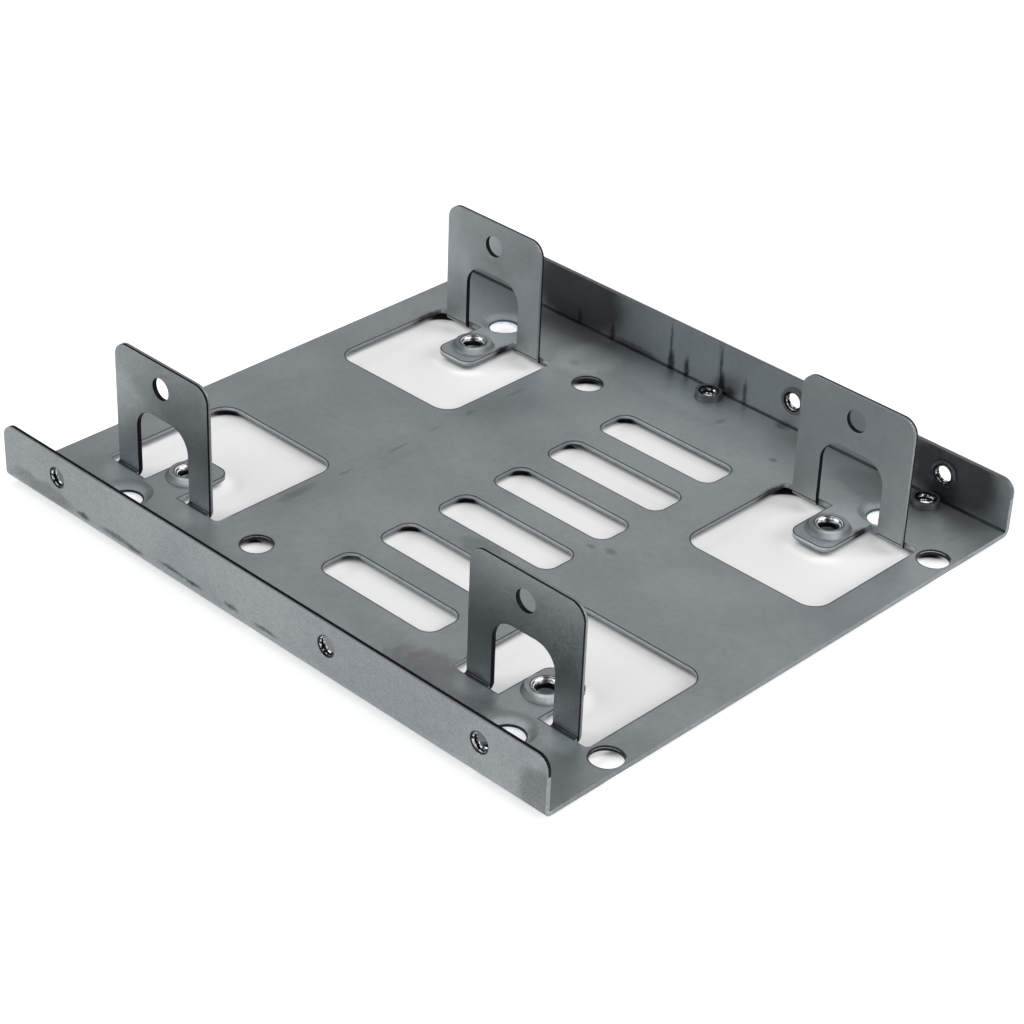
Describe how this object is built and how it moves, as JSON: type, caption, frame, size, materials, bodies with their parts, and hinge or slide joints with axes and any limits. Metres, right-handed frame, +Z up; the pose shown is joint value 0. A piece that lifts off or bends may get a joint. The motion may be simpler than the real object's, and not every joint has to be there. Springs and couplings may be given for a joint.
{
  "type": "drive bay adapter bracket",
  "caption": "Folded sheet steel tray that holds 2.5 inch drives in a 3.5 inch bay, with side walls, upright tabs, windows, air slots and drawn screw collars.",
  "frame": {"origin": "middle of the footprint, at the height of the feet's undersides", "axes": "+X across the side walls, +Y along them, +Z up, away from the surface the feet stand on"},
  "size_m": [0.1016, 0.1152, 0.0234],
  "materials": {
    "zinc_steel": "satin"
  },
  "bodies": {
    "root": {"bracket": "zinc_steel"}
  },
  "joints": []
}
